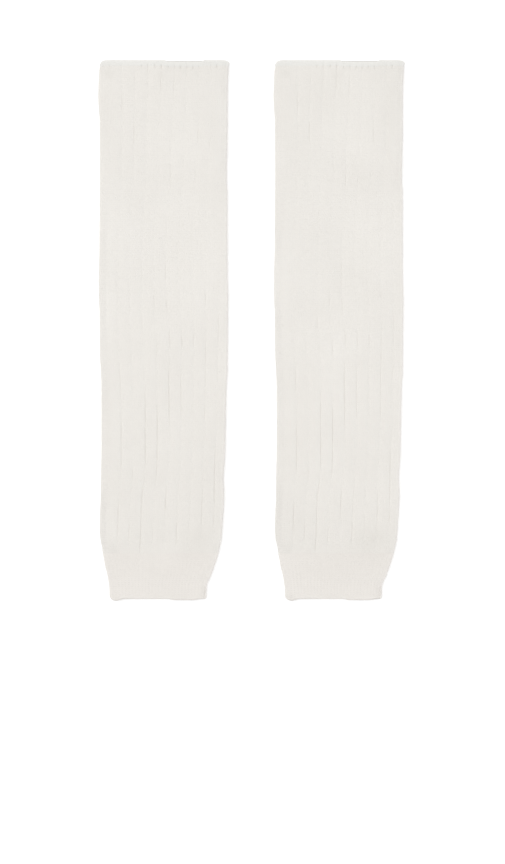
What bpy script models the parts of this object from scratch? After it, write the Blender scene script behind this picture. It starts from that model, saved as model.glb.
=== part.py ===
"""A pair of ribbed knit leg warmers laid flat side by side, with their top edges towards +Y.

Metres, +Z up. The cloth lies on the plane z = 0, and the origin is under the middle of the pair.
Each leg warmer is a hollow knitted tube pressed flat, open at both ends. It is made of a narrow
welt round the top edge, a wide-rib leg and an ankle cuff that draws in, 0.3 mm apart at their seams.
"""

from collections import namedtuple
from math import cos, pi, sin, sqrt

import bmesh
import bpy

# Lengths along a leg, measured down from its top edge
LEG_LENGTH = 0.5391
WELT_LENGTH = 0.0060
CUFF_LENGTH = 0.0454
SEAM_GAP = 0.0003
AXIS_SPACING = 0.1755

# The wide rib: both panels show ten grooves between the side folds, and one more is in each fold
GROOVES_PER_PANEL = 10
RIBS_PER_PANEL = 10.62
GROOVE_WIDTH = 0.0028
GROOVE_DEPTH = 0.0009

# Points across each flat panel of a plain ring, and the turns that a side fold is made of
PLAIN_STEPS = 20
FOLD_TURNS = 4

# The upper panel sinks a little between the rounder side folds
PANEL_SAG = 0.0005

# Where each section lies, how far its side folds are from the leg's axis, and how far its ribs lean
Section = namedtuple("Section", "down left right rib_shift")
SECTIONS = (
    Section(down=0.0000, left=0.0640, right=0.0656, rib_shift=0.0004),
    Section(down=0.0010, left=0.0640, right=0.0656, rib_shift=0.0004),
    Section(down=0.0036, left=0.0640, right=0.0657, rib_shift=0.0004),
    Section(down=0.0060, left=0.0642, right=0.0650, rib_shift=0.0004),
    Section(down=0.0364, left=0.0658, right=0.0640, rib_shift=0.0004),
    Section(down=0.0604, left=0.0643, right=0.0639, rib_shift=0.0004),
    Section(down=0.1204, left=0.0641, right=0.0631, rib_shift=0.0004),
    Section(down=0.2164, left=0.0652, right=0.0640, rib_shift=0.0004),
    Section(down=0.2884, left=0.0641, right=0.0641, rib_shift=0.0004),
    Section(down=0.3244, left=0.0625, right=0.0630, rib_shift=0.0004),
    Section(down=0.3724, left=0.0624, right=0.0620, rib_shift=0.0004),
    Section(down=0.4204, left=0.0631, right=0.0600, rib_shift=-0.0004),
    Section(down=0.4684, left=0.0642, right=0.0588, rib_shift=-0.0016),
    Section(down=0.4804, left=0.0635, right=0.0579, rib_shift=-0.0018),
    Section(down=0.4934, left=0.0611, right=0.0552, rib_shift=-0.0018),
    Section(down=0.5044, left=0.0591, right=0.0515, rib_shift=-0.0018),
    Section(down=0.5164, left=0.0562, right=0.0475, rib_shift=-0.0018),
    Section(down=0.5284, left=0.0544, right=0.0429, rib_shift=-0.0018),
    Section(down=0.5381, left=0.0542, right=0.0428, rib_shift=-0.0018),
    Section(down=0.5391, left=0.0542, right=0.0428, rib_shift=-0.0018),
)

# How thick each piece is: the laid height over its two layers, and the wall of one layer
Cloth = namedtuple("Cloth", "height wall")
WELT_CLOTH = Cloth(height=0.0062, wall=0.0027)
LEG_CLOTH = Cloth(height=0.0065, wall=0.0028)
CUFF_CLOTH = Cloth(height=0.0058, wall=0.0025)
EDGE_ROUND = 0.0006

# The open edges aren't straight. A corner is a quarter of an ellipse at a side fold, and a dip is a
# soft wave of the edge, reach being half its length.
Corner = namedtuple("Corner", "reach rise")
TOP_LEFT = Corner(reach=0.0075, rise=0.0046)
TOP_RIGHT = Corner(reach=0.0070, rise=0.0034)
ANKLE_LEFT = Corner(reach=0.0035, rise=0.0030)
ANKLE_RIGHT = Corner(reach=0.0015, rise=0.0010)
Dip = namedtuple("Dip", "middle reach drop")
TOP_DIP = Dip(middle=0.0198, reach=0.0300, drop=0.0008)
ANKLE_DIPS = (
    Dip(middle=-0.0480, reach=0.0080, drop=0.0024),
    Dip(middle=0.0172, reach=0.0190, drop=0.0013),
)
WAVY_ANKLE_LENGTH = 0.0107

# Off-white yarn
YARN_COLOUR = (0.838, 0.808, 0.761, 1.0)
YARN_ROUGHNESS = 0.9


def clear_scene():
    for item in list(bpy.data.objects):
        bpy.data.objects.remove(item, do_unlink=True)


def knit_material(name):
    """An off-white knit, named after the piece it is on."""
    material = bpy.data.materials.new(name)
    material.use_nodes = True
    shader = material.node_tree.nodes["Principled BSDF"]
    shader.inputs["Base Color"].default_value = YARN_COLOUR
    shader.inputs["Roughness"].default_value = YARN_ROUGHNESS
    shader.inputs["Metallic"].default_value = 0.0
    return material


def section_at(down):
    """The section at a distance down the leg, between the two rows of the table around it."""
    for above, below in zip(SECTIONS, SECTIONS[1:]):
        if down <= below.down:
            break
    share = (down - above.down) / (below.down - above.down)
    return Section(*(a + (b - a) * share for a, b in zip(above, below)))


def sections_between(start, end):
    """The piece's two ends, with the table's own rows between them."""
    inner = [row for row in SECTIONS if start < row.down < end]
    return [section_at(start), *inner, section_at(end)]


def plain_marks(section, fold_radius):
    """(x, groove depth) at even steps across a panel, between its side folds."""
    start = fold_radius - section.left
    width = section.left + section.right - 2 * fold_radius
    return [(start + width * step / PLAIN_STEPS, 0.0) for step in range(1, PLAIN_STEPS)]


def rib_marks(section, fold_radius):
    """(x, groove depth) at both edges and the bottom of each groove of a panel."""
    pitch = (section.left + section.right) / RIBS_PER_PANEL
    middle = (section.right - section.left) / 2 + section.rib_shift
    marks = []
    for groove in range(GROOVES_PER_PANEL):
        x = middle + (groove - (GROOVES_PER_PANEL - 1) / 2) * pitch
        marks += [(x - GROOVE_WIDTH / 2, 0.0), (x, GROOVE_DEPTH), (x + GROOVE_WIDTH / 2, 0.0)]
    return marks


def ring(section, cloth, marks_across, inset):
    """One section's points as (outer, inner) pairs of (x, z), clockwise from the upper panel's left.

    inset pulls the outer points in all round, which rounds an open edge."""
    radius = cloth.height / 2
    inner_radius = radius - cloth.wall
    fold_left = radius - section.left
    fold_right = section.right - radius
    half_panel = (fold_right - fold_left) / 2
    middle = (fold_right + fold_left) / 2
    marks = marks_across(section, radius)

    def top(x):
        return cloth.height - PANEL_SAG * (1 - ((x - middle) / half_panel) ** 4)

    def fold(centre, first_angle):
        points = []
        for turn in range(FOLD_TURNS + 1):
            angle = first_angle - pi * turn / FOLD_TURNS
            outer = (centre + (radius - inset) * cos(angle), radius + (radius - inset) * sin(angle))
            inner = (centre + inner_radius * cos(angle), radius + inner_radius * sin(angle))
            points.append((outer, inner))
        return points

    upper = [((x, top(x) - depth - inset), (x, top(x) - cloth.wall)) for x, depth in marks]
    under = [((x, depth + inset), (x, cloth.wall)) for x, depth in reversed(marks)]
    return upper + fold(fold_right, pi / 2) + under + fold(fold_left, -pi / 2)


def corner_rise(distance, corner):
    """How far the edge has pulled back at this distance from the side fold."""
    if distance >= corner.reach:
        return 0.0
    return corner.rise * (1 - sqrt(1 - (1 - max(distance, 0.0) / corner.reach) ** 2))


def dip_drop(x, dip):
    """How far the edge sinks at x in a soft wave."""
    away = abs(x - dip.middle) / dip.reach
    return dip.drop * cos(away * pi / 2) ** 2 if away < 1 else 0.0


def top_edge(x, z, section):
    """How far below its nominal line the welt's edge lies. Only the upper panel dips."""
    corners = corner_rise(x + section.left, TOP_LEFT) + corner_rise(section.right - x, TOP_RIGHT)
    return corners + dip_drop(x, TOP_DIP) * z / WELT_CLOTH.height


def ankle_edge(x, section):
    """How far below its nominal line the cuff's edge lies."""
    corners = corner_rise(x + section.left, ANKLE_LEFT) + corner_rise(section.right - x, ANKLE_RIGHT)
    return sum(dip_drop(x, dip) for dip in ANKLE_DIPS) - corners


def along(down, x, z, section):
    """The point's y below the top edge, with the open edges' waves fading out into the leg."""
    welt_share = max(0.0, 1 - down / WELT_LENGTH)
    ankle_share = max(0.0, 1 - (LEG_LENGTH - down) / WAVY_ANKLE_LENGTH)
    drop = 0.0
    if welt_share > 0:
        drop += welt_share * top_edge(x, z, section)
    if ankle_share > 0:
        drop += ankle_share * ankle_edge(x, section)
    return -(down + drop)


def tube_mesh(name, sections, cloth, marks_across):
    """A closed wall through the sections' rings, hollow from end to end."""
    mesh_maker = bmesh.new()
    loops = []
    for section in sections:
        at_open_edge = min(section.down, LEG_LENGTH - section.down) < SEAM_GAP
        pairs = ring(section, cloth, marks_across, EDGE_ROUND if at_open_edge else 0.0)
        for points in zip(*pairs):
            places = [(x, along(section.down, x, z, section), z) for x, z in points]
            loops.append([mesh_maker.verts.new(place) for place in places])
    outer_loops = loops[0::2]
    inner_loops = loops[1::2]
    skins = list(zip(outer_loops, outer_loops[1:])) + list(zip(inner_loops, inner_loops[1:]))
    ends = [(outer_loops[0], inner_loops[0]), (outer_loops[-1], inner_loops[-1])]
    for first, second in skins + ends:
        count = len(first)
        for i in range(count):
            j = (i + 1) % count
            mesh_maker.faces.new((first[i], first[j], second[j], second[i]))
    bmesh.ops.recalc_face_normals(mesh_maker, faces=mesh_maker.faces)
    mesh = bpy.data.meshes.new(name)
    mesh_maker.to_mesh(mesh)
    mesh_maker.free()
    mesh.shade_smooth()
    mesh.set_sharp_from_angle(angle=pi / 6)
    return mesh


def add_piece(name, leg, start, end, cloth, marks_across):
    mesh = tube_mesh(name, sections_between(start, end), cloth, marks_across)
    mesh.materials.append(knit_material(name + "_yarn"))
    piece = bpy.data.objects.new(name, mesh)
    bpy.context.scene.collection.objects.link(piece)
    piece.parent = leg


def add_leg(side, x):
    """One leg warmer under an empty at its axis and top edge."""
    leg = bpy.data.objects.new("leg_" + side, None)
    leg.location.x = x
    bpy.context.scene.collection.objects.link(leg)
    cuff_start = LEG_LENGTH - CUFF_LENGTH
    add_piece("welt_" + side, leg, 0.0, WELT_LENGTH, WELT_CLOTH, plain_marks)
    add_piece("tube_" + side, leg, WELT_LENGTH + SEAM_GAP, cuff_start - SEAM_GAP, LEG_CLOTH, rib_marks)
    add_piece("cuff_" + side, leg, cuff_start, LEG_LENGTH, CUFF_CLOTH, plain_marks)
    return leg


def centre_on_origin(legs):
    """Moves the pair so that the middle of its box, seen from above, is at the origin."""
    points = []
    for leg in legs:
        for piece in leg.children:
            points += [leg.location + vertex.co for vertex in piece.data.vertices]
    for axis in range(2):
        places = [point[axis] for point in points]
        middle = (min(places) + max(places)) / 2
        for leg in legs:
            leg.location[axis] -= middle


def main():
    clear_scene()
    legs = [add_leg("left", -AXIS_SPACING / 2), add_leg("right", AXIS_SPACING / 2)]
    centre_on_origin(legs)


main()
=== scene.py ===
# A pair of ribbed knit leg warmers laid flat side by side, seen from straight above.
#
# Metres, +Z up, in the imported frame. Each leg warmer is a knitted tube pressed flat, in three pieces:
# a turned welt, a wide-rib leg and an ankle cuff. Each piece is a closed shell of cloth whose outer
# skin holds the ribs, the knit columns, the soft hollows and the uneven edges. Only the single
# stitches and the yarn's fibres, which are finer than the mesh, are bump.
from collections import namedtuple
from math import pi

import bpy
import numpy as np
from mathutils import Matrix, Vector


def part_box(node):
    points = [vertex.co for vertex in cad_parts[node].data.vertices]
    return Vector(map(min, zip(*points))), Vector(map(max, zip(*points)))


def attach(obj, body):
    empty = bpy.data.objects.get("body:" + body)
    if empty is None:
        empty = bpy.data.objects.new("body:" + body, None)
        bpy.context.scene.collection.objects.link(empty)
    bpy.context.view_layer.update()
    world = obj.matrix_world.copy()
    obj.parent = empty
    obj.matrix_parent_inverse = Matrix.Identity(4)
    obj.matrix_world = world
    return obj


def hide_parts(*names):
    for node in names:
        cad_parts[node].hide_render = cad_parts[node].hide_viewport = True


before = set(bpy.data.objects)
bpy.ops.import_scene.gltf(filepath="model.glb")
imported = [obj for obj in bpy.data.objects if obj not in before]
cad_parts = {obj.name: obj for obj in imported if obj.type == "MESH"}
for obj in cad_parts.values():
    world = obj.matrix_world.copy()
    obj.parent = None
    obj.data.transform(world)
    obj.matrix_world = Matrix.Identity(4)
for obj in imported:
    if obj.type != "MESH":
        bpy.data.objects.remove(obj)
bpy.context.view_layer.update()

MM = 0.001

# The two layers of a flattened tube, by the way that their skins face, up or down, and a wall's two faces
OVER, UNDER = 1, -1
SKIN, INNER = 0, 1

# The photograph: its size, its scale at the cloth, and the pixel where the frame's origin shows
PHOTO_WIDTH = 505
PHOTO_HEIGHT = 864
PIXEL = 1.0 * MM
ORIGIN_PIXEL = (251.15, 330.38)

# The camera, straight above and far enough away for the photograph's flat look: its height in metres, and
# its sensor in mm
CAMERA_HEIGHT = 3.0
SENSOR = 36.0

# The softbox and the table, in metres: the table lies just under the cloth and shines a little from below
SOFTBOX_PLACE = (-3.6, 1.4, 7.2)
SOFTBOX_SIZE = 3.4
SOFTBOX_POWER = 150
TABLE_SIZE = 14
TABLE_DROP = 0.1 * MM
TABLE_GLOW = 0.12

# Places along a leg, in mm down from its top edge, and the gap where two pieces meet
WELT_END = 6.0
CUFF_START = 493.7
LEG_LENGTH = 539.4
JOIN_GAP = 0.02

# The leg's axis lies this far left of the middle of its welt, in mm
AXIS_OFFSET = 0.75

# The outline from above, in mm: how far each side fold lies from the leg's axis
Section = namedtuple("Section", "down left right")
OUTLINE = (
    Section(0.0, 64.0, 66.1),
    Section(3.6, 64.0, 65.9),
    Section(6.4, 64.25, 65.35),
    Section(12.4, 64.85, 65.15),
    Section(24.4, 65.35, 64.55),
    Section(36.4, 65.75, 64.35),
    Section(48.4, 65.25, 64.25),
    Section(60.4, 64.25, 64.25),
    Section(120.4, 64.05, 63.45),
    Section(132.4, 64.15, 64.15),
    Section(192.4, 64.45, 64.15),
    Section(216.4, 65.15, 64.35),
    Section(240.4, 64.95, 64.95),
    Section(252.4, 64.25, 64.75),
    Section(288.4, 64.05, 64.45),
    Section(312.0, 63.05, 64.35),
    Section(324.4, 62.45, 63.35),
    Section(372.4, 62.35, 62.35),
    Section(396.4, 62.45, 61.85),
    Section(420.4, 63.05, 60.25),
    Section(432.4, 63.05, 61.05),
    Section(468.4, 64.15, 59.15),
    Section(480.4, 63.45, 58.25),
    Section(486.4, 61.95, 56.85),
    Section(498.4, 60.05, 53.85),
    Section(504.4, 59.05, 51.85),
    Section(516.4, 56.15, 47.55),
    Section(525.4, 54.75, 43.65),
    Section(528.4, 54.35, 43.25),
    Section(539.4, 54.15, 42.95),
)

# How the tube lies, in mm: its height over two layers of cloth, and the wall of one layer
Lie = namedtuple("Lie", "down height wall")
LIES = (
    Lie(0.0, 6.2, 2.7),
    Lie(8.0, 6.4, 2.8),
    Lie(30.0, 6.5, 2.8),
    Lie(470.0, 6.5, 2.8),
    Lie(500.0, 6.0, 2.6),
    Lie(539.4, 5.8, 2.5),
)

# The highest part of the cloth, which the camera's scale is set at, and the least gap between the layers
# inside the tube, in mm
CLOTH_TOP = max(lie.height for lie in LIES)
LEAST_GAP = 0.15

# A side fold is widest at this share of the height, and rolls off this far in: above, below and inside the
# tube, in mm. The power makes the roll a little squarer than a circle. The upper panel sags in its middle.
FOLD_SHARE = 0.42
OVER_ROLL = 2.1
UNDER_ROLL = 2.6
INNER_ROLL = 2.2
ROLL_POWER = 2.2
PANEL_SAG = 0.35

# Points in the cut of a half tube: round a fold, and across the flat between the folds
FOLD_POINTS = 33
FLAT_POINTS = 60

# The wide rib, in mm. Ten grooves are numbered across the upper panel, with groove 0 just right of the leg's
# axis, and the ribs beside them end at the side folds. Such a rib is never narrower than the least, measured
# round the cloth. A rib is highest in its middle, by its crown, and its wales are fine furrows.
RIB_PITCH = 12.05
GROOVES = range(-5, 5)
MIDDLE_GROOVE = 6.85
RIBS_PER_PANEL = len(GROOVES) + 1
GROOVE_REACH = 1.1
RIB_CROWN = 0.19
LEAST_RIB = 9.0
WALES_PER_RIB = 5
WALE_DEPTH = 0.04

# The crowns and wales start this far below the top edge. They set in there, and run out above the cuff, over
# these lengths, in mm.
RELIEF_START = 1.0
RELIEF_SET_IN = 4.0
RELIEF_RUN_OUT = 6.0

# How the ribs wander off their even places down the leg, in mm, at five places across the upper panel.
# The ribs between those places share the difference.
LEAN_PLACES = (-42, -18, 6, 30, 54)
Lean = namedtuple("Lean", "down far_left left middle right far_right")
LEANS = (
    Lean(0, 0.0, 1.8, 4.5, 4.9, 4.2),
    Lean(25, 0.0, 1.5, 3.8, 4.6, 4.2),
    Lean(60, 0.2, 0.0, 2.0, 4.0, 4.0),
    Lean(90, 0.0, -0.2, 0.5, 3.4, 3.4),
    Lean(120, -0.5, -0.3, 0.1, 0.6, 1.0),
    Lean(150, -2.0, -2.4, -2.0, -1.0, 0.0),
    Lean(185, -3.5, -4.0, -4.2, -2.0, 0.0),
    Lean(215, -4.0, -4.3, -4.4, -2.4, 0.0),
    Lean(240, -4.3, -4.3, -3.8, -1.2, 0.0),
    Lean(262, -4.2, -4.2, -1.8, -0.5, 0.0),
    Lean(282, -3.5, -2.2, -0.2, -0.5, -0.3),
    Lean(320, -1.8, -1.2, -1.3, -1.1, -1.0),
    Lean(360, -0.6, -0.7, -0.9, -1.2, -1.6),
    Lean(400, -0.7, -0.7, -1.2, -2.5, -3.4),
    Lean(420, -1.5, -1.8, -2.5, -3.5, -3.8),
    Lean(440, -3.4, -4.4, -4.5, -4.4, -4.0),
    Lean(470, -4.2, -5.2, -5.6, -5.5, -5.0),
    Lean(490, -5.0, -6.2, -6.3, -6.3, -6.0),
    Lean(539.4, -7.0, -7.0, -7.0, -7.0, -7.0),
)

# How deep the grooves are down the leg where nothing presses them in, in mm
Depth = namedtuple("Depth", "down depth")
GROOVE_DEPTHS = (
    Depth(0.0, 0.0),
    Depth(6.0, 0.12),
    Depth(100.0, 0.10),
    Depth(150.0, 0.06),
    Depth(250.0, 0.06),
    Depth(310.0, 0.12),
    Depth(470.0, 0.14),
    Depth(484.0, 0.10),
    Depth(493.7, 0.0),
)

# Every groove is uneven down its length in its own way. Its depth swings up and down by this share, in waves
# of this length, in mm, and of two shorter ones that are shares of it.
GROOVE_UNEVEN = 0.7
UNEVEN_LENGTH = 46.0
UNEVEN_WAVES = np.array([1.0, 0.618, 0.361])
UNEVEN_PHASES = np.random.default_rng(5).uniform(0, 2 * pi, (2, RIBS_PER_PANEL + 1, len(UNEVEN_WAVES)))
GROOVE_PHASES = {OVER: UNEVEN_PHASES[0], UNDER: UNEVEN_PHASES[1]}

# The first groove from the left fold is pressed nearly flat. So is any groove that comes near a fold, in mm
# round the cloth: at the first distance it is gone, and the second further in it has its whole depth.
GROOVE_SHARES = np.ones(RIBS_PER_PANEL + 1)
GROOVE_SHARES[1] = 0.3
GROOVE_END = 4.5
GROOVE_EASE = 6.5

# Stretches of the upper panel, in mm down the leg, where a groove is pressed in deeper, and how much. Each
# one fades out beyond its ends.
STRETCH_FADE = 4.0
FAINT = 0.10
LIGHT = 0.20
CLEAR = 0.30
DEEP = 0.45
DEEPEST = 0.60
Stretch = namedtuple("Stretch", "groove start end depth")
STRETCHES = (
    Stretch(-1, 3, 10, LIGHT),
    Stretch(-2, 6, 24, LIGHT),
    Stretch(4, 7, 14, FAINT),
    Stretch(-3, 17, 24, FAINT),
    Stretch(0, 18, 31, CLEAR),
    Stretch(-1, 20, 30, CLEAR),
    Stretch(4, 23, 30, LIGHT),
    Stretch(-3, 34, 40, LIGHT),
    Stretch(-4, 36, 51, CLEAR),
    Stretch(2, 44, 62, FAINT),
    Stretch(-2, 52, 60, FAINT),
    Stretch(-3, 63, 82, DEEP),
    Stretch(-4, 66, 76, FAINT),
    Stretch(2, 73, 79, DEEP),
    Stretch(3, 77, 86, CLEAR),
    Stretch(0, 106, 130, CLEAR),
    Stretch(2, 113, 118, LIGHT),
    Stretch(1, 118, 128, FAINT),
    Stretch(1, 134, 142, FAINT),
    Stretch(0, 202, 224, CLEAR),
    Stretch(1, 211, 216, LIGHT),
    Stretch(-2, 212, 218, LIGHT),
    Stretch(3, 228, 248, LIGHT),
    Stretch(-1, 230, 248, CLEAR),
    Stretch(-3, 232, 238, FAINT),
    Stretch(2, 232, 246, FAINT),
    Stretch(0, 241, 250, DEEP),
    Stretch(-3, 246, 251, FAINT),
    Stretch(4, 248, 289, CLEAR),
    Stretch(-2, 258, 266, CLEAR),
    Stretch(3, 258, 358, CLEAR),
    Stretch(0, 271, 287, DEEPEST),
    Stretch(1, 273, 289, DEEP),
    Stretch(-4, 274, 300, FAINT),
    Stretch(2, 276, 284, DEEP),
    Stretch(-1, 284, 296, CLEAR),
    Stretch(0, 300, 369, DEEPEST),
    Stretch(-4, 302, 342, CLEAR),
    Stretch(2, 302, 358, FAINT),
    Stretch(4, 308, 318, LIGHT),
    Stretch(1, 310, 326, LIGHT),
    Stretch(1, 324, 355, DEEP),
    Stretch(-2, 328, 372, DEEP),
    Stretch(-1, 346, 384, DEEPEST),
    Stretch(3, 346, 364, LIGHT),
    Stretch(-4, 354, 418, DEEP),
    Stretch(0, 366, 380, FAINT),
    Stretch(-2, 370, 406, DEEPEST),
    Stretch(-1, 380, 420, DEEP),
    Stretch(4, 388, 450, DEEP),
    Stretch(-3, 411, 418, LIGHT),
    Stretch(-2, 420, 450, DEEP),
    Stretch(1, 422, 432, LIGHT),
    Stretch(0, 432, 455, DEEP),
    Stretch(3, 438, 464, DEEP),
    Stretch(1, 440, 456, LIGHT),
    Stretch(-4, 442, 480, DEEP),
    Stretch(-2, 448, 494, DEEP),
    Stretch(4, 456, 462, DEEP),
    Stretch(2, 457, 464, LIGHT),
    Stretch(1, 464, 484, DEEP),
    Stretch(-3, 466, 480, CLEAR),
    Stretch(-1, 467, 480, LIGHT),
    Stretch(-2, 474, 492, LIGHT),
)

# Soft hollows in the upper panel, in mm: where their middle is, how far they reach and how deep they are.
# The first ones have a depth below 0: they are swells, where the cloth stands up a little.
Hollow = namedtuple("Hollow", "down across reach_down reach_across depth")
HOLLOWS = (
    Hollow(52, -22, 74, 46, -0.55),
    Hollow(150, 34, 90, 40, -0.60),
    Hollow(196, -40, 64, 38, -0.45),
    Hollow(286, 6, 84, 60, -0.50),
    Hollow(352, -34, 58, 36, -0.40),
    Hollow(404, 28, 72, 44, -0.60),
    Hollow(462, -26, 50, 40, -0.45),
    Hollow(519, -22, 24, 36, -0.30),
    Hollow(488, 28, 30, 32, 0.70),
    Hollow(112, 22, 34, 48, 0.30),
    Hollow(14, 52, 18, 22, 0.45),
    Hollow(13, -52, 13, 13, 0.50),
    Hollow(386, -56, 20, 13, 0.30),
    Hollow(240, -20, 60, 44, 0.25),
    Hollow(330, 30, 70, 26, 0.25),
    Hollow(430, -30, 60, 24, 0.30),
    Hollow(520, 8, 20, 42, 0.30),
)

# The open edges aren't straight, in mm. A corner is a quarter of an ellipse at a side fold. A dip is where
# the edge lies lower: reach is half its length, and slope is how far each of its ends takes. At the top the
# upper layer dips more than the under one, so that the under rim shows between the two rims, as a line that
# painted shade makes dark. The cloth is drawn along with its edge for this far into the leg.
Corner = namedtuple("Corner", "reach rise")
TOP_LEFT = Corner(reach=7.5, rise=4.6)
TOP_RIGHT = Corner(reach=7.0, rise=2.3)
ANKLE_LEFT = Corner(reach=3.5, rise=3.0)
ANKLE_RIGHT = Corner(reach=0.9, rise=0.5)
Dip = namedtuple("Dip", "middle reach slope drop")
OVER_DIPS = (Dip(20.9, 20.0, 3.0, 1.9),)
UNDER_DIPS = (Dip(20.9, 20.0, 3.0, 0.65),)
ANKLE_DIPS = (Dip(-48.0, 8.0, 8.0, 2.4), Dip(20.4, 17.0, 7.0, 1.3))
TOP_EDGE_FADE = 12.0
ANKLE_EDGE_FADE = 10.7

# The linking row under the welt, in mm: a furrow, with a short slit at each groove and half way between. A
# slit also has painted shade in its tone, darker in its hollow. Most are faint and unlike. Those pulled in
# more are numbered in half ribs from the left fold, with their share of the whole depth.
LINK_REACH = 1.0
LINK_DEPTH = 0.08
SLIT_DOWN = 6.3
SLIT_REACH_ACROSS = 1.1
SLIT_REACH_DOWN = 3.2
SLIT_DEPTH = 0.8
SLIT_PAINTED_SHADE = -0.4
FAINT_SLIT = 0.3
SLIT_SHARES = np.random.default_rng(7).uniform(0.0, FAINT_SLIT, 2 * RIBS_PER_PANEL + 1)
TIGHT_SLITS = {
    7: 0.7,
    9: 0.9,
    10: 0.5,
    11: 0.8,
    12: 0.4,
    13: 0.8,
    14: 0.4,
    15: 0.75,
    16: 0.4,
    18: 0.2,
    19: 0.85,
}
for half_rib, share in TIGHT_SLITS.items():
    SLIT_SHARES[half_rib] = share

# Painted light along the right fold, where the softbox leaves the cloth in shade: the tone it adds, and how
# far in, in mm
PAINTED_FOLD_LIGHT = 0.28
FOLD_LIGHT_REACH = 3.2

# The crease beside the ankle's right fold, in mm: it sets in over a short length and runs to the edge
CREASE_START = 526.0
CREASE_SET_IN = 2.0
CREASE_FROM_FOLD = 1.9
CREASE_REACH = 0.9
CREASE_DEPTH = 0.9

# The ankle cuff's 1x1 rib, in mm: it sets in below the join and runs out at the edge
CUFF_RIBS_PER_PANEL = 31
CUFF_RIB_DEPTH = 0.14
CUFF_RIB_SET_IN = 5.0
CUFF_RIB_RUN_OUT = 3.0

# The mesh. Its rows down a piece, in mm, are fine at the piece's ends and grow to the piece's own step. The
# plain inner wall has one row to so many of the skin's. The columns are counted across a rib, above and
# below, and the leg's are drawn together at its grooves. An edge sharper than this angle, in radians, isn't
# shaded smooth.
FINE_ROW = 0.45
LEG_ROW = 2.1
WELT_ROW = 0.5
CUFF_ROW = 0.9
ROW_GROWTH = 1.35
INNER_ROW_STRIDE = 24
LIP_STEPS = 6
LEG_COLUMNS = (24, 6)
LEG_CROWDING = 0.5
CUFF_COLUMNS = (10, 4)
SHARP_EDGE = 1.1

# Colours: the off-white yarn with painted light and with painted shade, which the tone mixes. The welt's
# colours are a little greyer, and the cuff's a little warmer. The last is the white table.
YARN = "#E7E4DF"
YARN_SHADE = "#CBC7C0"
WELT_YARN = "#E5E4E0"
WELT_YARN_SHADE = "#C9C7C2"
CUFF_YARN = "#E7E3DE"
CUFF_YARN_SHADE = "#CBC6BF"
TABLE = "#FAFAFA"

# Painted shade and light down the leg, as tone: darker under the welt and above the cuff, lighter between
# them and at the ankle edge. 0 is the painted shade colour and 1 the lit one
Tone = namedtuple("Tone", "down tone")
PAINTED_LEG_SHADE = (
    Tone(0.0, 0.70),
    Tone(8.0, 0.67),
    Tone(26.0, 0.69),
    Tone(90.0, 0.72),
    Tone(190.0, 0.75),
    Tone(290.0, 0.73),
    Tone(390.0, 0.71),
    Tone(460.0, 0.66),
    Tone(483.0, 0.67),
    Tone(494.0, 0.675),
    Tone(512.0, 0.69),
    Tone(520.0, 0.72),
    Tone(539.4, 0.78),
)

# Patches of painted shade and painted light on the cloth, in mm, and by how much: darker below 0, lighter
# above it
Patch = namedtuple("Patch", "down across reach_down reach_across change")
PAINTED_SHADE_AND_LIGHT_PATCHES = (
    Patch(40, -10, 44, 26, -0.06),
    Patch(118, 14, 26, 54, -0.06),
    Patch(240, 8, 60, 60, -0.04),
    Patch(310, -38, 50, 26, -0.05),
    Patch(486, 31, 30, 28, -0.12),
    Patch(477, 38, 12, 14, -0.04),
    Patch(52, -60, 50, 14, -0.07),
    Patch(236, -60, 76, 14, 0.06),
    Patch(66, 61, 70, 12, 0.09),
    Patch(14, -54, 7, 8, -0.10),
    Patch(16, -2, 8, 9, -0.08),
    Patch(532, 39, 9, 7, -0.10),
    Patch(538, -48, 5, 7, -0.14),
)

# Painted shade: where the two rims lie apart at the top, the under layer's inner face between them is
# darkened
RIM_SHADE = Patch(2.0, 20.9, 5.0, 30.0, -1.2)

# The yarn's own tone wanders this far to both sides, in patches that come so many to the metre. Painted shade
# makes it darker low in a loop, in the hollows between the strands, by this much
WANDER = 0.125
WANDER_SCALE = 16.0
LOOP_PAINTED_SHADE = 0.2

# The knit's stitches, in mm: the width of a wale and the height of a course. A real rib this wide has
# eight to ten wales. They are drawn about twice as coarse, because the real ones are too fine to show. The
# cuff has two wales to a rib. A strand runs down by the slant, in courses, from the middle of its wale to the
# side, and its height swings by this share along the loop. The stitches stand out by a depth in mm, which is
# a little less for the close knit of the welt and the cuff.
WALE = RIB_PITCH / WALES_PER_RIB
CUFF_WALE = RIB_PITCH * RIBS_PER_PANEL / (2 * CUFF_RIBS_PER_PANEL)
COURSE = 1.9
STITCH_SLANT = 0.55
LOOP_SWING = 0.35
WIDE_RIB_STITCH_DEPTH = 0.30
CLOSE_STITCH_DEPTH = 0.25

# The yarn's fibres: how many to the metre, how high, in mm, and how strongly they show
FIBRE_SCALE = 1300.0
FIBRE_DEPTH = 0.12
FIBRE_STRENGTH = 0.5


def smooth_table(rows, field, down):
    """A column of a table at a distance down the leg, as a smooth curve that never overshoots its rows."""
    places = np.array([row.down for row in rows], float)
    values = np.array([getattr(row, field) for row in rows], float)
    rates = np.diff(values) / np.diff(places)
    before, after = rates[:-1], rates[1:]
    same_way = before * after > 0
    mean_rates = np.where(same_way, 2 * before * after / np.where(same_way, before + after, 1), 0)
    slopes = np.concatenate([rates[:1], mean_rates, rates[-1:]])
    i = min(max(int(np.searchsorted(places, down)) - 1, 0), len(places) - 2)
    step = places[i + 1] - places[i]
    t = min(max((down - places[i]) / step, 0.0), 1.0)
    rise = t * t * (3 - 2 * t)
    bend = step * t * (1 - t) * (slopes[i] * (1 - t) - slopes[i + 1] * t)
    return values[i] * (1 - rise) + values[i + 1] * rise + bend


def bell(distance, reach):
    """1 in the middle, falling softly to 0 at reach."""
    return np.clip(1 - (np.asarray(distance) / reach) ** 2, 0, 1) ** 2


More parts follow.
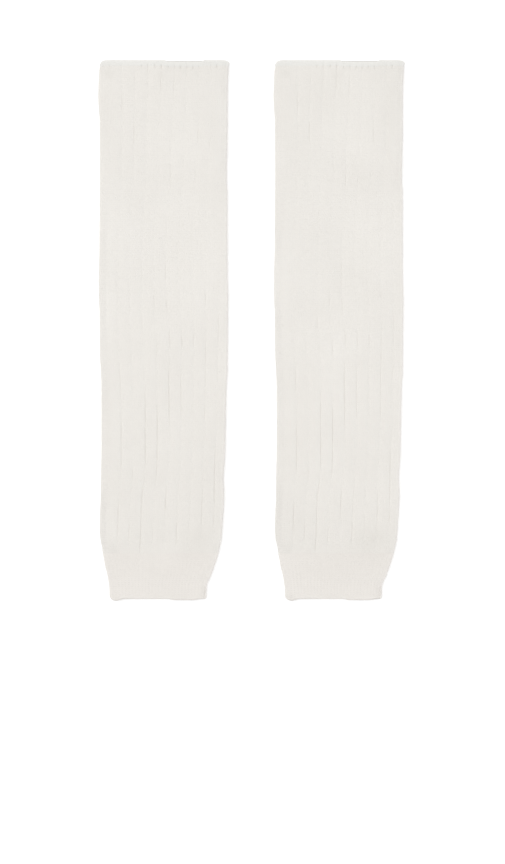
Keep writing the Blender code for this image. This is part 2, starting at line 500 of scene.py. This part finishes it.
def soft_step(t):
    """0 up to 0 and 1 from 1 on, with a soft rise between."""
    t = np.clip(t, 0, 1)
    return t * t * (3 - 2 * t)


def uneven(phases, down):
    """A soft wave between 0 and 1 that hardly repeats: three sines of unlike lengths."""
    waves = np.sin(2 * pi * down / (UNEVEN_LENGTH * UNEVEN_WAVES) + phases)
    return 0.5 + waves.sum(-1) / (2 * len(UNEVEN_WAVES))


class Contour:
    """One half of the cut across the flattened tube, from its left fold to its right one, in mm.

    fold is the height where the sides are widest, and panel the height of the flat between them."""

    def __init__(self, left, right, fold, panel, roll, sag):
        turn = np.linspace(0, pi / 2, FOLD_POINTS)
        out = roll * (1 - np.cos(turn) ** (2 / ROLL_POWER))
        up = np.sin(turn) ** (2 / ROLL_POWER)
        flat = np.linspace(-left + roll, right - roll, FLAT_POINTS)[1:-1]
        share = np.concatenate([up, np.ones(len(flat)), up[::-1]])
        middle = (right - left) / 2
        reach = (right + left) / 2 - roll
        self.x = np.concatenate([-left + out, flat, (right - out)[::-1]])
        self.z = fold + (panel - fold) * share - sag * bell(self.x - middle, reach)
        steps = np.hypot(np.diff(self.x), np.diff(self.z))
        self.along = np.concatenate([[0.0], np.cumsum(steps)])
        self.length = self.along[-1]
        self.side = OVER if panel > fold else UNDER

    def length_to(self, x):
        """Lengths round the cloth from the left fold to these places."""
        return np.interp(x, self.x, self.along)

    def at(self, along, relief):
        """Points (x, z) at those lengths from the left fold, moved out along the normal by relief."""
        x = np.interp(along, self.along, self.x)
        z = np.interp(along, self.along, self.z)
        slope_x = np.interp(along, self.along, np.gradient(self.x, self.along))
        slope_z = np.interp(along, self.along, np.gradient(self.z, self.along))
        size = np.hypot(slope_x, slope_z)
        normal_x = -self.side * slope_z / size
        normal_z = self.side * slope_x / size
        return x + normal_x * relief, z + normal_z * relief


def contours(down, face):
    """The over and under halves of the tube's cut, at its skin or at the inner face of its wall."""
    height = smooth_table(LIES, "height", down)
    wall = smooth_table(LIES, "wall", down) if face == INNER else 0.0
    left = smooth_table(OUTLINE, "left", down) - wall
    right = smooth_table(OUTLINE, "right", down) - wall
    low, high = wall, height - wall
    fold = low + FOLD_SHARE * (high - low)
    over_roll, under_roll = (INNER_ROLL, INNER_ROLL) if face == INNER else (OVER_ROLL, UNDER_ROLL)
    over = Contour(left, right, fold, high, over_roll, PANEL_SAG)
    under = Contour(left, right, fold, low, under_roll, 0.0)
    return over, under


def groove_knots(half, knit, down):
    """Lengths from a half's left fold to each of its grooves. Only the upper panel's wide ribs wander."""
    if knit is not WIDE_RIB or half.side == UNDER:
        return np.linspace(0, half.length, knit.ribs + 1)
    even = MIDDLE_GROOVE + RIB_PITCH * np.array(GROOVES)
    leans = [smooth_table(LEANS, field, down) for field in Lean._fields[1:]]
    grooves = half.length_to(even + np.interp(even, LEAN_PLACES, leans))
    grooves = grooves.clip(LEAST_RIB, half.length - LEAST_RIB)
    return np.concatenate([[0], grooves, [half.length]])


def groove_depths(down, side):
    """How deep each groove of a panel is at this row, from the left fold to the right one."""
    base = max(smooth_table(GROOVE_DEPTHS, "depth", down), 0.0)
    depths = base * (1 - GROOVE_UNEVEN + 2 * GROOVE_UNEVEN * uneven(GROOVE_PHASES[side], down))
    depths = depths * GROOVE_SHARES
    if side == OVER:
        for stretch in STRETCHES:
            middle = (stretch.start + stretch.end) / 2
            reach = (stretch.end - stretch.start) / 2 + STRETCH_FADE
            depths[stretch.groove - GROOVES[0] + 1] += stretch.depth * bell(down - middle, reach) ** 0.5
    return depths


def place_in_rib(positions, knots):
    """The rib that each column is in, how far across it, and how wide that rib is."""
    rib = np.minimum(positions.astype(int), len(knots) - 2)
    return rib, positions - rib, np.diff(knots)[rib]


def slits(down, positions, knots):
    """Between 0 and 1: how much of a slit of the linking row there is at each column."""
    half_ribs = np.round(2 * positions).astype(int)
    width = place_in_rib(positions, knots)[2]
    apart = np.abs(positions - half_ribs / 2) * width
    across = SLIT_SHARES[half_ribs] * bell(apart, SLIT_REACH_ACROSS)
    return across * bell(down - SLIT_DOWN, SLIT_REACH_DOWN)


def wide_rib_relief(down, side, positions, knots):
    """How far the wide-rib cloth's skin lies out from its contour: grooves, wales and the linking row."""
    rib, share, width = place_in_rib(positions, knots)
    inward = np.minimum(knots, knots[-1] - knots)
    depth = groove_depths(down, side) * soft_step((inward - GROOVE_END) / GROOVE_EASE)
    grooves = depth[rib] * bell(share * width, GROOVE_REACH)
    grooves = grooves + depth[rib + 1] * bell((1 - share) * width, GROOVE_REACH)
    set_in = soft_step((down - RELIEF_START) / RELIEF_SET_IN)
    run_out = soft_step((CUFF_START - down) / RELIEF_RUN_OUT)
    wales = WALE_DEPTH * (0.5 - 0.5 * np.cos(2 * pi * WALES_PER_RIB * share))
    crown = RIB_CROWN * (width / RIB_PITCH) ** 2 * (2 * share - 1) ** 2
    link = LINK_DEPTH * bell(down - WELT_END, LINK_REACH) + SLIT_DEPTH * slits(down, positions, knots)
    return -(grooves + run_out * set_in * (wales + crown) + link)


def ankle_rib_relief(down, positions):
    """How far the cuff's skin lies out from its contour: its 1x1 rib."""
    share = positions - np.floor(positions)
    set_in = soft_step((down - CUFF_START) / CUFF_RIB_SET_IN)
    run_out = soft_step((LEG_LENGTH - down) / CUFF_RIB_RUN_OUT)
    return -CUFF_RIB_DEPTH * set_in * run_out * (0.5 + 0.5 * np.cos(2 * pi * share))


def spread(patch, down, x):
    """1 in the middle of a hollow or a patch, falling softly to 0 round its edge."""
    return bell(down - patch.down, patch.reach_down) * bell(x - patch.across, patch.reach_across)


def sink(down, x):
    """How far the upper panel lies below its contour: its soft hollows, less its swells, and the crease."""
    crease = x - smooth_table(OUTLINE, "right", down) + CREASE_FROM_FOLD
    set_in = soft_step((down - CREASE_START) / CREASE_SET_IN)
    hollows = sum(hollow.depth * spread(hollow, down, x) for hollow in HOLLOWS)
    return hollows + CREASE_DEPTH * set_in * bell(crease, CREASE_REACH)


def tones(down, x, knit, positions, knots):
    """The tone at each column, with its painted shade and light: down the leg, in patches, along the right
    fold and in the slits.
    """
    even = smooth_table(PAINTED_LEG_SHADE, "tone", down)
    painted_patches = sum(patch.change * spread(patch, down, x) for patch in PAINTED_SHADE_AND_LIGHT_PATCHES)
    bloom = PAINTED_FOLD_LIGHT * bell(smooth_table(OUTLINE, "right", down) - x, FOLD_LIGHT_REACH)
    slit = SLIT_PAINTED_SHADE * slits(down, positions, knots) if knit is WIDE_RIB else 0.0
    return even + painted_patches + bloom + slit


def corner_rise(distance, corner):
    """How far the edge has pulled back at this distance from the side fold."""
    share = np.clip(1 - distance / corner.reach, 0, 1)
    return corner.rise * (1 - np.sqrt(1 - share**2))


def dipped(x, dips):
    """How far below its even place the edge lies because of its dips."""
    return sum(dip.drop * soft_step((dip.reach - np.abs(x - dip.middle)) / dip.slope) for dip in dips)


def edge_drop(down, x, side):
    """How far below its even place a point lies, because the open edges wave and their corners are round."""
    left = smooth_table(OUTLINE, "left", down)
    right = smooth_table(OUTLINE, "right", down)
    top = corner_rise(x + left, TOP_LEFT) + corner_rise(right - x, TOP_RIGHT)
    top = top + dipped(x, OVER_DIPS if side == OVER else UNDER_DIPS)
    ankle = dipped(x, ANKLE_DIPS) - corner_rise(x + left, ANKLE_LEFT) - corner_rise(right - x, ANKLE_RIGHT)
    top_share = max(0.0, 1 - down / TOP_EDGE_FADE)
    ankle_share = max(0.0, 1 - (LEG_LENGTH - down) / ANKLE_EDGE_FADE)
    return top * top_share + ankle * ankle_share


# What makes one kind of knit: the ribs of a panel, and the mesh's columns across a rib, drawn together or not
Knit = namedtuple("Knit", "ribs columns crowding")
WIDE_RIB = Knit(RIBS_PER_PANEL, LEG_COLUMNS, LEG_CROWDING)
ANKLE_RIB = Knit(CUFF_RIBS_PER_PANEL, CUFF_COLUMNS, 0.0)


def crowded(positions, crowding):
    """The positions drawn together towards the grooves, which are at the whole numbers."""
    return positions - crowding * np.sin(2 * pi * positions) / (2 * pi)


def rib_positions(knit):
    """Where each column lies, in ribs from the left fold: over the upper panel, then back below it."""
    over, under = (np.arange(knit.ribs * columns) / columns for columns in knit.columns)
    return crowded(over, knit.crowding), crowded(knit.ribs - under, knit.crowding)


def skin_relief(knit, down, side, positions, knots):
    """How far the skin of a knit lies out from its contour at each column."""
    if knit is WIDE_RIB:
        return wide_rib_relief(down, side, positions, knots)
    return ankle_rib_relief(down, positions)


def ring(knit, down, face):
    """One row round the tube, at its skin or at the inner face of its wall: x, y and z in mm, and tone."""
    rows = []
    for half, positions in zip(contours(down, face), rib_positions(knit)):
        knots = groove_knots(half, knit, down)
        along = np.interp(positions, np.arange(knit.ribs + 1), knots)
        out = skin_relief(knit, down, half.side, positions, knots) if face == SKIN else 0.0
        x, z = half.at(along, out)
        tone = tones(down, x, knit, positions, knots)
        # The under layer's inner face gets painted shade where the rims lie apart at the top
        if face == INNER:
            tone = tone + RIM_SHADE.change * spread(RIM_SHADE, down, x)
        if half.side == OVER:
            least = smooth_table(LIES, "wall", down) + LEAST_GAP if face == INNER else 0.0
            z = np.maximum(z - sink(down, x), least)
        rows.append(np.stack([x, -(down + edge_drop(down, x, half.side)), z, tone], -1))
    return np.concatenate(rows)


def lip(start, end, most, outward):
    """Rings that turn a wall's edge over in a half round, from one face of the wall to the other.

    They stand out by half the wall, and by no more than most. Outward is 1 at the top and -1 at the ankle."""
    middle, half = (start + end) / 2, (start - end) / 2
    reach = np.minimum(np.linalg.norm(half[:, :3], axis=1), most).reshape(-1, 1)
    turns = np.linspace(0, pi, LIP_STEPS + 1)[1:-1]
    forward = np.array([0.0, outward, 0.0, 0.0])
    return [middle + half * np.cos(turn) + reach * np.sin(turn) * forward for turn in turns]


def graded_rows(start, end, fine, coarse):
    """Places from start to end, close together at both ends and growing to an even step between."""
    steps = [fine]
    while steps[-1] < coarse and 2 * sum(steps) < end - start:
        steps.append(min(steps[-1] * ROW_GROWTH, coarse))
    between = max(0, round((end - start - 2 * sum(steps)) / coarse))
    steps = steps + [coarse] * between + steps[::-1]
    places = np.concatenate([[0.0], np.cumsum(steps)])
    return start + places * (end - start) / places[-1]


def shell_mesh(name, rings, knit, downs):
    """A closed wall through the rings, which go down its skin and back up its inner face, with a UV map.

    The map is the cloth laid out flat, in metres: round the tube across its ribs, and down it."""
    count = len(rings[0])
    here = np.arange(len(rings) * count).reshape(len(rings), count)
    beside, below = np.roll(here, -1, 1), np.roll(here, -1, 0)
    faces = np.stack([here, beside, np.roll(beside, -1, 0), below], -1).reshape(-1, 4)
    points, tone = np.split(np.concatenate(rings), [3], 1)
    points = points * MM
    a, b, c, d = (points[faces[:, corner]] for corner in range(4))
    if np.einsum("ij,ij->i", a, np.cross(b, c) + np.cross(c, d)).sum() < 0:
        faces = faces[:, ::-1]
    mesh = bpy.data.meshes.new(name)
    mesh.from_pydata(points.tolist(), [], faces.tolist())
    over, under = rib_positions(knit)
    around = np.concatenate([over, 2 * knit.ribs - under])[faces % count]
    wraps = around.max(1) - around.min(1) > knit.ribs
    around[wraps[:, None] & (around < knit.ribs)] += 2 * knit.ribs
    rib_width = RIB_PITCH * RIBS_PER_PANEL / knit.ribs
    flat = np.stack([around * rib_width, -np.asarray(downs)[faces // count]], -1) * MM
    mesh.uv_layers.new(name="cloth").data.foreach_set("uv", flat.astype(np.float32).ravel())
    mesh.attributes.new("tone", "FLOAT", "POINT").data.foreach_set("value", tone.astype(np.float32).ravel())
    mesh.shade_smooth()
    mesh.set_sharp_from_angle(angle=SHARP_EDGE)
    return mesh


def knit_piece(name, leg, cloth):
    """One piece of a leg warmer: its skin, its inner face, and a turned lip where it ends at an open edge."""
    top_lip = LIES[0].wall / 2 if cloth.start == 0 else 0
    ankle_lip = LIES[-1].wall / 2 if cloth.end == LEG_LENGTH else 0
    start = cloth.start + top_lip
    end = cloth.end - ankle_lip
    downs = graded_rows(start, end, min(FINE_ROW, cloth.row), cloth.row)
    inner_downs = np.append(downs[:-1:INNER_ROW_STRIDE], downs[-1])
    skin = [ring(cloth.knit, down, SKIN) for down in downs]
    inner = [ring(cloth.knit, down, INNER) for down in inner_downs]
    at_ankle = lip(skin[-1], inner[-1], ankle_lip, -1.0) if ankle_lip else []
    at_top = lip(inner[0], skin[0], top_lip, 1.0) if top_lip else []
    rings = skin + at_ankle + inner[::-1] + at_top
    all_downs = [*downs, *[end] * len(at_ankle), *inner_downs[::-1], *[start] * len(at_top)]
    mesh = shell_mesh(name, rings, cloth.knit, all_downs)
    mesh.transform(leg)
    piece = bpy.data.objects.new(name, mesh)
    bpy.context.scene.collection.objects.link(piece)
    return piece


def colour(hex_code):
    """An sRGB hex colour as the linear RGBA that Blender's sockets take."""
    parts = [int(hex_code[i:i + 2], 16) / 255 for i in (1, 3, 5)]
    return (*[p / 12.92 if p <= 0.04045 else ((p + 0.055) / 1.055) ** 2.4 for p in parts], 1.0)


def node(tree, kind, inputs=None, **settings):
    """Adds a node with its settings. Each input is a value, or the socket that it is linked from."""
    made = tree.nodes.new(kind)
    for name, value in settings.items():
        setattr(made, name, value)
    for name, value in (inputs or {}).items():
        if isinstance(value, bpy.types.NodeSocket):
            tree.links.new(value, made.inputs[name])
        else:
            made.inputs[name].default_value = value
    return made


def empty_material(name):
    material = bpy.data.materials.new(name)
    material.use_nodes = True
    material.node_tree.nodes.clear()
    return material


def knit_material(name, wale, stitch_depth, yarn, shade):
    """Off-white cotton-blend yarn, knitted: matt and a little hairy, so it gives a soft even light with a
    pale bloom where it turns away, and small slanting loops that break the surface up close. The colours are
    the yarn's with painted light and with painted shade."""
    material = empty_material(name)
    tree = material.node_tree
    cloth = node(tree, "ShaderNodeUVMap", uv_map="cloth").outputs["UV"]
    place = node(tree, "ShaderNodeTexCoord").outputs["Object"]
    scale = (1 / (wale * MM), 1 / (COURSE * MM), 0)
    stitches = node(tree, "ShaderNodeVectorMath", {0: cloth, 1: scale}, operation="MULTIPLY").outputs[0]
    axes = node(tree, "ShaderNodeSeparateXYZ", {0: stitches})

    # Across a wale: 0 on its middle line and 1 between it and the next. Each half is one strand, round across
    turned = node(tree, "ShaderNodeMath", {0: axes.outputs["X"], 1: 0.5}, operation="PINGPONG").outputs[0]
    across = node(tree, "ShaderNodeMath", {0: turned, 1: 2.0}, operation="MULTIPLY").outputs[0]
    half_turn = node(tree, "ShaderNodeMath", {0: across, 1: pi}, operation="MULTIPLY").outputs[0]
    strand = node(tree, "ShaderNodeMath", {0: half_turn}, operation="SINE").outputs[0]
    # Along a wale the strands slant down to both sides, one pair to a course
    lift = {0: across, 1: STITCH_SLANT, 2: axes.outputs["Y"]}
    lifted = node(tree, "ShaderNodeMath", lift, operation="MULTIPLY_ADD").outputs[0]
    full_turn = node(tree, "ShaderNodeMath", {0: lifted, 1: 2 * pi}, operation="MULTIPLY").outputs[0]
    loop = node(tree, "ShaderNodeMath", {0: full_turn}, operation="COSINE").outputs[0]
    swing = {0: loop, 1: LOOP_SWING, 2: 1 - LOOP_SWING}
    loop_share = node(tree, "ShaderNodeMath", swing, operation="MULTIPLY_ADD").outputs[0]
    stitch = node(tree, "ShaderNodeMath", {0: strand, 1: loop_share}, operation="MULTIPLY").outputs[0]

    # The tone attribute carries the painted shade and light. The yarn's own colour wanders softly over a
    # hand's breadth, and painted shade darkens it low in a loop. The mix's inputs 6 and 7 are its two
    # colours, with painted shade and with painted light.
    tone = node(tree, "ShaderNodeAttribute", attribute_name="tone").outputs["Fac"]
    patches = node(tree, "ShaderNodeTexNoise", {
        "Vector": place, "Scale": WANDER_SCALE, "Detail": 2.0, "Roughness": 0.5})
    wander = {"Value": patches.outputs["Fac"], "To Min": -WANDER, "To Max": WANDER}
    wandering = node(tree, "ShaderNodeMapRange", wander, clamp=False).outputs[0]
    painted_tone_and_wander = node(tree, "ShaderNodeMath", {0: tone, 1: wandering}, operation="ADD").outputs[0]
    loop_shaded = {0: stitch, 1: LOOP_PAINTED_SHADE, 2: painted_tone_and_wander}
    lit = node(tree, "ShaderNodeMath", loop_shaded, operation="MULTIPLY_ADD").outputs[0]
    mixed = node(tree, "ShaderNodeMix", {0: lit, 6: colour(shade), 7: colour(yarn)}, data_type="RGBA")

    # Over the stitches lie the fibres: fine hairs and slubs, a little under a millimetre
    fibres = node(tree, "ShaderNodeTexNoise", {
        "Vector": place, "Scale": FIBRE_SCALE, "Detail": 3.0, "Roughness": 0.6})
    bumps = node(tree, "ShaderNodeBump", {"Strength": 1.0, "Distance": stitch_depth * MM, "Height": stitch})
    hairs = node(tree, "ShaderNodeBump", {
        "Strength": FIBRE_STRENGTH, "Distance": FIBRE_DEPTH * MM,
        "Height": fibres.outputs["Fac"], "Normal": bumps.outputs[0]})
    shader = node(tree, "ShaderNodeBsdfPrincipled", {
        "Base Color": mixed.outputs[2], "Normal": hairs.outputs[0], "Roughness": 0.92,
        "Specular IOR Level": 0.2, "Sheen Weight": 0.4, "Sheen Roughness": 0.5})
    node(tree, "ShaderNodeOutputMaterial", {"Surface": shader.outputs[0]})
    return material


def table_material():
    """A photographer's white acrylic table: matt, and lit softly from below, so it gives an even pure white
    on which nothing seems to cast a shadow."""
    material = empty_material("lit_white_acrylic")
    tree = material.node_tree
    shader = node(tree, "ShaderNodeBsdfPrincipled", {
        "Base Color": colour(TABLE), "Roughness": 1.0, "Specular IOR Level": 0.0,
        "Emission Color": colour(TABLE), "Emission Strength": TABLE_GLOW})
    node(tree, "ShaderNodeOutputMaterial", {"Surface": shader.outputs[0]})
    return material


def add_camera():
    """A camera straight above, whose view is the photograph's at the cloth's highest part."""
    data = bpy.data.cameras.new("camera")
    data.sensor_width = SENSOR
    data.lens = SENSOR * (CAMERA_HEIGHT - CLOTH_TOP * MM) / (PHOTO_HEIGHT * PIXEL)
    camera = bpy.data.objects.new("camera", data)
    x = (PHOTO_WIDTH / 2 - ORIGIN_PIXEL[0]) * PIXEL
    y = -(PHOTO_HEIGHT / 2 - ORIGIN_PIXEL[1]) * PIXEL
    camera.location = (x, y, CAMERA_HEIGHT)
    bpy.context.scene.collection.objects.link(camera)
    bpy.context.scene.camera = camera


def add_softbox():
    """A square softbox that faces the pair."""
    data = bpy.data.lights.new("softbox", "AREA")
    data.shape = "SQUARE"
    data.size = SOFTBOX_SIZE
    data.energy = SOFTBOX_POWER
    light = bpy.data.objects.new("softbox", data)
    light.location = SOFTBOX_PLACE
    light.rotation_euler = Vector(SOFTBOX_PLACE).to_track_quat("Z", "Y").to_euler()
    bpy.context.scene.collection.objects.link(light)


def add_studio():
    """Plain soft light from all round, a softbox high on the left, and a lit white table below."""
    scene = bpy.context.scene
    scene.view_settings.view_transform = "Standard"
    scene.world = bpy.data.worlds.new("studio")
    scene.world.use_nodes = True
    background = scene.world.node_tree.nodes["Background"]
    background.inputs["Color"].default_value = (1, 1, 1, 1)
    background.inputs["Strength"].default_value = 1.0
    add_softbox()
    bpy.ops.mesh.primitive_plane_add(size=TABLE_SIZE, location=(0, 0, -TABLE_DROP))
    floor = bpy.context.object
    floor.name = "floor"
    floor.data.materials.append(table_material())


def leg_frame(side):
    """Where a leg's axis and top edge are in the frame, from its welt's box."""
    low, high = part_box("welt_" + side)
    return Matrix.Translation(((low.x + high.x) / 2 - AXIS_OFFSET * MM, high.y, 0))


bpy.ops.object.select_all(action="DESELECT")
add_camera()
add_studio()

# The three pieces of a leg warmer: each one's slot, how it is knitted, where it starts and ends, its step of
# rows and its material
Cloth = namedtuple("Cloth", "slot knit start end row material")
CLOTHS = {
    "welt": Cloth(
        "welt_knit", WIDE_RIB, 0, WELT_END, WELT_ROW,
        knit_material("cotton_blend_turned_welt", WALE, CLOSE_STITCH_DEPTH, WELT_YARN, WELT_YARN_SHADE)),
    "tube": Cloth(
        "wide_rib_knit", WIDE_RIB, WELT_END + JOIN_GAP, CUFF_START - JOIN_GAP, LEG_ROW,
        knit_material("cotton_blend_wide_rib_knit", WALE, WIDE_RIB_STITCH_DEPTH, YARN, YARN_SHADE)),
    "cuff": Cloth(
        "ankle_rib_knit", ANKLE_RIB, CUFF_START, LEG_LENGTH, CUFF_ROW,
        knit_material(
            "cotton_blend_one_by_one_rib_knit", CUFF_WALE, CLOSE_STITCH_DEPTH, CUFF_YARN, CUFF_YARN_SHADE)),
}
for side in ("left", "right"):
    for part, cloth in CLOTHS.items():
        piece = knit_piece(part + "_knit_" + side, leg_frame(side), cloth)
        piece.data.materials.append(cloth.material)
        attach(piece, "root")
        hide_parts(part + "_" + side)
